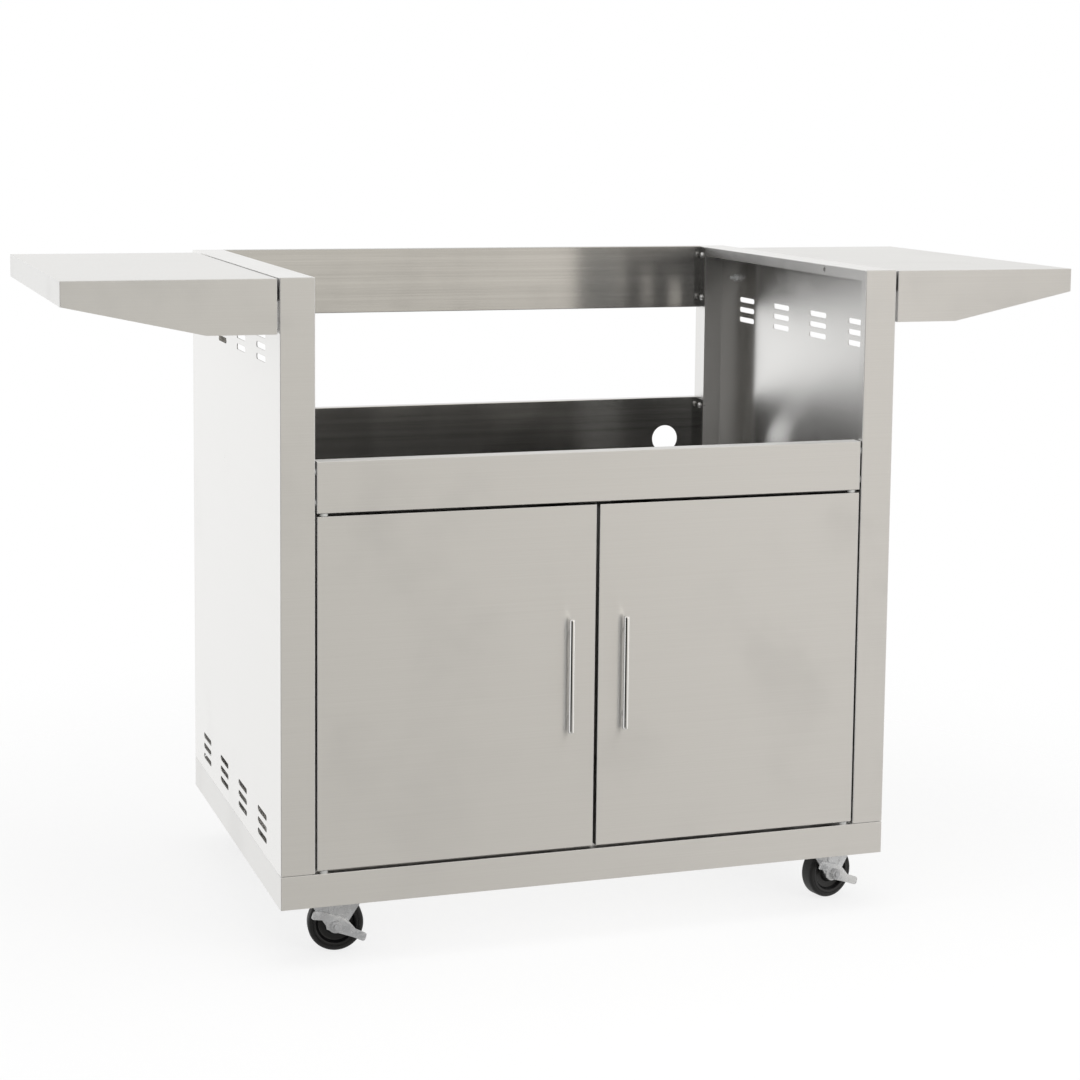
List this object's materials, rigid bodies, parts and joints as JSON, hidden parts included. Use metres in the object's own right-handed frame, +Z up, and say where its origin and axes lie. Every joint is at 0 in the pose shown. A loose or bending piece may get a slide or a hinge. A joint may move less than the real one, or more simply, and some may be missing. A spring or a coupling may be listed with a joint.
{
  "type": "grill cart",
  "caption": "Stainless grill cart: open-topped cabinet with swinging doors, vented sides, fixed side shelves and swivel casters, sized for a drop-in grill.",
  "frame": {"origin": "on the floor under the middle of the whole cart, handles included", "axes": "+X to the right seen from the front, along both shelves; +Y from the doors to the back; +Z up"},
  "size_m": [1.416, 0.626, 0.91],
  "materials": {
    "stainless": "satin brushed stainless sheet",
    "zinc": "bright zinc plate",
    "screw_steel": "plain stainless",
    "polished_bar": "polished stainless bar",
    "white_nylon": "natural white",
    "black_plastic": "moulded black",
    "tyre_rubber": "smooth grey-black tread"
  },
  "bodies": {
    "cabinet": {"base_pan": "stainless", "left_caster_channel": "zinc", "right_caster_channel": "zinc", "left_side_panel": "stainless", "right_side_panel": "stainless", "rear_top_rail": "stainless", "rear_lower_panel": "stainless", "front_apron": "stainless", "left_shelf": "stainless", "right_shelf": "stainless", "left_shelf_bracket": "zinc", "right_shelf_bracket": "zinc", "shelf_bolts": "zinc", "shelf_nuts": "zinc", "frame_screws": "screw_steel", "rivet_nuts": "zinc", "door_bushes": "white_nylon", "door_catches": "black_plastic", "caster_plates": "zinc", "caster_bolts": "zinc", "caster_nuts": "zinc", "kingpins": "zinc", "swivel_balls": "zinc"},
    "left_door": {"left_door_skin": "stainless", "left_pivot_pins": "zinc", "left_strike_plate": "zinc", "left_handle_bar": "polished_bar", "left_handle_posts": "polished_bar", "left_handle_screws": "zinc"},
    "right_door": {"right_door_skin": "stainless", "right_pivot_pins": "zinc", "right_strike_plate": "zinc", "right_handle_bar": "polished_bar", "right_handle_posts": "polished_bar", "right_handle_screws": "zinc"},
    "front_left_swivel": {"front_left_fork": "zinc", "front_left_axle": "zinc", "front_left_bush": "zinc"},
    "front_left_roller": {"front_left_wheel": "black_plastic", "front_left_tyre": "tyre_rubber"},
    "front_left_brake": {"front_left_brake_lever": "zinc"},
    "front_right_swivel": {"front_right_fork": "zinc", "front_right_axle": "zinc", "front_right_bush": "zinc"},
    "front_right_roller": {"front_right_wheel": "black_plastic", "front_right_tyre": "tyre_rubber"},
    "front_right_brake": {"front_right_brake_lever": "zinc"},
    "rear_left_swivel": {"rear_left_fork": "zinc", "rear_left_axle": "zinc", "rear_left_bush": "zinc"},
    "rear_left_roller": {"rear_left_wheel": "black_plastic", "rear_left_tyre": "tyre_rubber"},
    "rear_right_swivel": {"rear_right_fork": "zinc", "rear_right_axle": "zinc", "rear_right_bush": "zinc"},
    "rear_right_roller": {"rear_right_wheel": "black_plastic", "rear_right_tyre": "tyre_rubber"}
  },
  "joints": [
    {"name": "left_door_hinge", "type": "hinge", "parent": "cabinet", "child": "left_door", "pos_m": [-0.3745, -0.293, 0.367], "axis": [0, 0, -1], "range_deg": [0, 115]},
    {"name": "right_door_hinge", "type": "hinge", "parent": "cabinet", "child": "right_door", "pos_m": [0.3745, -0.293, 0.367], "axis": [0, 0, 1], "range_deg": [0, 115]},
    {"name": "front_left_swivel_turn", "type": "hinge", "parent": "cabinet", "child": "front_left_swivel", "pos_m": [-0.365, -0.224, 0.0928], "axis": [0, 0, 1], "continuous": true},
    {"name": "front_left_wheel_spin", "type": "hinge", "parent": "front_left_swivel", "child": "front_left_roller", "pos_m": [-0.34321, -0.22706, 0.0375], "axis": [-0.1392, -0.9903, 0], "continuous": true},
    {"name": "front_left_brake_tilt", "type": "hinge", "parent": "front_left_swivel", "child": "front_left_brake", "pos_m": [-0.34321, -0.22706, 0.0375], "axis": [-0.1392, -0.9903, 0], "range_deg": [0, 38]},
    {"name": "front_right_swivel_turn", "type": "hinge", "parent": "cabinet", "child": "front_right_swivel", "pos_m": [0.365, -0.224, 0.0928], "axis": [0, 0, 1], "continuous": true},
    {"name": "front_right_wheel_spin", "type": "hinge", "parent": "front_right_swivel", "child": "front_right_roller", "pos_m": [0.38635, -0.21868, 0.0375], "axis": [0.2419, -0.9703, 0], "continuous": true},
    {"name": "front_right_brake_tilt", "type": "hinge", "parent": "front_right_swivel", "child": "front_right_brake", "pos_m": [0.38635, -0.21868, 0.0375], "axis": [0.2419, -0.9703, 0], "range_deg": [0, 38]},
    {"name": "rear_left_swivel_turn", "type": "hinge", "parent": "cabinet", "child": "rear_left_swivel", "pos_m": [-0.365, 0.238, 0.0928], "axis": [0, 0, 1], "continuous": true},
    {"name": "rear_left_wheel_spin", "type": "hinge", "parent": "rear_left_swivel", "child": "rear_left_roller", "pos_m": [-0.34333, 0.24182, 0.0375], "axis": [0.1736, -0.9848, 0], "continuous": true},
    {"name": "rear_right_swivel_turn", "type": "hinge", "parent": "cabinet", "child": "rear_right_swivel", "pos_m": [0.365, 0.238, 0.0928], "axis": [0, 0, 1], "continuous": true},
    {"name": "rear_right_wheel_spin", "type": "hinge", "parent": "rear_right_swivel", "child": "rear_right_roller", "pos_m": [0.38644, 0.24295, 0.0375], "axis": [0.225, -0.9744, 0], "continuous": true}
  ]
}
